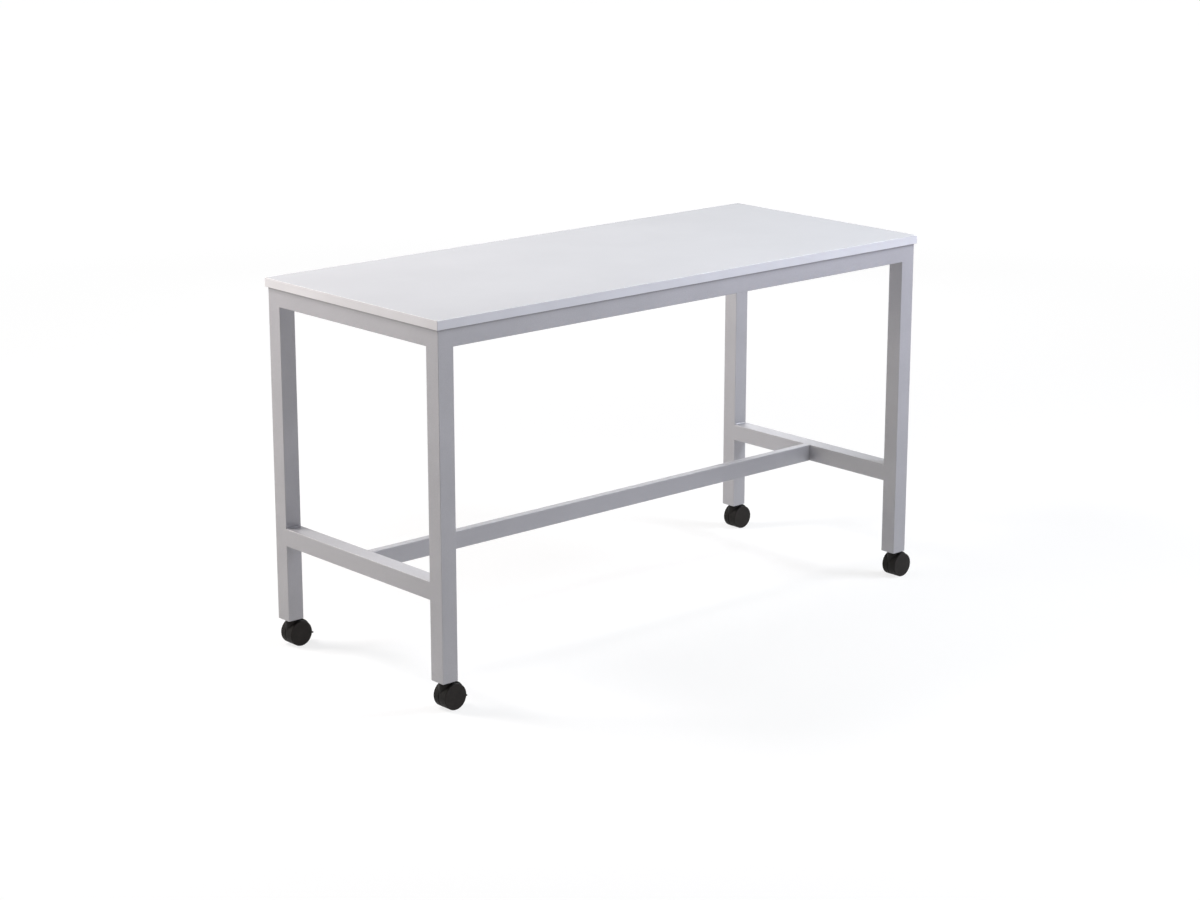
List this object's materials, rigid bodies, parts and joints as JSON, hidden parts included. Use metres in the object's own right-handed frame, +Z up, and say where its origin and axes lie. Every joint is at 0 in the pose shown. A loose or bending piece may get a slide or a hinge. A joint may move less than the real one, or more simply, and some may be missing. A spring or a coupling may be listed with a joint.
{
  "type": "standing meeting table",
  "caption": "Standing-height meeting table: rectangular white top on a square-tube frame with cross rails and a central foot rail, on twin-wheel castors with brake levers at one end.",
  "frame": {"origin": "on the floor, under the middle of the table top", "axes": "+X along the table's length, +Y from the long side that is the front to the back, +Z up"},
  "size_m": [1.822, 0.75, 1.05],
  "materials": {
    "board": "white laminate, fine matt texture",
    "edging": "white, satin",
    "frame_paint": "silver-grey powder coat, fine matt",
    "zinc": "bright zinc plating",
    "insert": "dull zinc plating",
    "castor_plastic": "black moulded plastic, satin",
    "wheel": "black moulded plastic with a matt tread",
    "lever_plastic": "black moulded plastic, satin"
  },
  "bodies": {
    "table": {"top_board": "board", "edge_strip_front": "edging", "edge_strip_back": "edging", "edge_strip_left": "edging", "edge_strip_right": "edging", "end_rail_left": "frame_paint", "end_rail_right": "frame_paint", "cross_rail_left": "frame_paint", "cross_rail_right": "frame_paint", "side_rail_front": "frame_paint", "side_rail_back": "frame_paint", "foot_rail": "frame_paint", "rail_sockets": "frame_paint", "foot_rail_sockets": "frame_paint", "fixing_tabs": "frame_paint", "leg_front_left": "frame_paint", "leg_front_right": "frame_paint", "leg_back_left": "frame_paint", "leg_back_right": "frame_paint", "rail_screws": "zinc", "foot_rail_screws": "zinc", "top_screws": "zinc", "leg_insert_front_left": "insert", "castor_stem_front_left": "zinc", "leg_insert_front_right": "insert", "castor_stem_front_right": "zinc", "leg_insert_back_left": "insert", "castor_stem_back_left": "zinc", "leg_insert_back_right": "insert", "castor_stem_back_right": "zinc"},
    "castor_front_left": {"castor_body_front_left": "castor_plastic", "axle_front_left": "zinc", "lever_pin_front_left": "zinc"},
    "wheel_a_front_left": {"wheel_a_front_left": "wheel"},
    "wheel_b_front_left": {"wheel_b_front_left": "wheel"},
    "lever_front_left": {"brake_lever_front_left": "lever_plastic"},
    "castor_front_right": {"castor_body_front_right": "castor_plastic", "axle_front_right": "zinc"},
    "wheel_a_front_right": {"wheel_a_front_right": "wheel"},
    "wheel_b_front_right": {"wheel_b_front_right": "wheel"},
    "castor_back_left": {"castor_body_back_left": "castor_plastic", "axle_back_left": "zinc", "lever_pin_back_left": "zinc"},
    "wheel_a_back_left": {"wheel_a_back_left": "wheel"},
    "wheel_b_back_left": {"wheel_b_back_left": "wheel"},
    "lever_back_left": {"brake_lever_back_left": "lever_plastic"},
    "castor_back_right": {"castor_body_back_right": "castor_plastic", "axle_back_right": "zinc"},
    "wheel_a_back_right": {"wheel_a_back_right": "wheel"},
    "wheel_b_back_right": {"wheel_b_back_right": "wheel"}
  },
  "joints": [
    {"name": "swivel_front_left", "type": "hinge", "parent": "table", "child": "castor_front_left", "pos_m": [-0.869, -0.344, 0.08], "axis": [0, 0, 1], "continuous": true},
    {"name": "spin_a_front_left", "type": "hinge", "parent": "castor_front_left", "child": "wheel_a_front_left", "pos_m": [-0.852, -0.344, 0.036], "axis": [0, 1, 0], "continuous": true},
    {"name": "spin_b_front_left", "type": "hinge", "parent": "castor_front_left", "child": "wheel_b_front_left", "pos_m": [-0.852, -0.344, 0.036], "axis": [0, 1, 0], "continuous": true},
    {"name": "brake_front_left", "type": "hinge", "parent": "castor_front_left", "child": "lever_front_left", "pos_m": [-0.82163, -0.344, 0.03706], "axis": [0, -1, 0], "range_deg": [0, 18]},
    {"name": "swivel_front_right", "type": "hinge", "parent": "table", "child": "castor_front_right", "pos_m": [0.869, -0.344, 0.08], "axis": [0, 0, 1], "continuous": true},
    {"name": "spin_a_front_right", "type": "hinge", "parent": "castor_front_right", "child": "wheel_a_front_right", "pos_m": [0.886, -0.344, 0.036], "axis": [0, 1, 0], "continuous": true},
    {"name": "spin_b_front_right", "type": "hinge", "parent": "castor_front_right", "child": "wheel_b_front_right", "pos_m": [0.886, -0.344, 0.036], "axis": [0, 1, 0], "continuous": true},
    {"name": "swivel_back_left", "type": "hinge", "parent": "table", "child": "castor_back_left", "pos_m": [-0.869, 0.344, 0.08], "axis": [0, 0, 1], "continuous": true},
    {"name": "spin_a_back_left", "type": "hinge", "parent": "castor_back_left", "child": "wheel_a_back_left", "pos_m": [-0.852, 0.344, 0.036], "axis": [0, 1, 0], "continuous": true},
    {"name": "spin_b_back_left", "type": "hinge", "parent": "castor_back_left", "child": "wheel_b_back_left", "pos_m": [-0.852, 0.344, 0.036], "axis": [0, 1, 0], "continuous": true},
    {"name": "brake_back_left", "type": "hinge", "parent": "castor_back_left", "child": "lever_back_left", "pos_m": [-0.82163, 0.344, 0.03706], "axis": [0, -1, 0], "range_deg": [0, 18]},
    {"name": "swivel_back_right", "type": "hinge", "parent": "table", "child": "castor_back_right", "pos_m": [0.869, 0.344, 0.08], "axis": [0, 0, 1], "continuous": true},
    {"name": "spin_a_back_right", "type": "hinge", "parent": "castor_back_right", "child": "wheel_a_back_right", "pos_m": [0.886, 0.344, 0.036], "axis": [0, 1, 0], "continuous": true},
    {"name": "spin_b_back_right", "type": "hinge", "parent": "castor_back_right", "child": "wheel_b_back_right", "pos_m": [0.886, 0.344, 0.036], "axis": [0, 1, 0], "continuous": true}
  ]
}
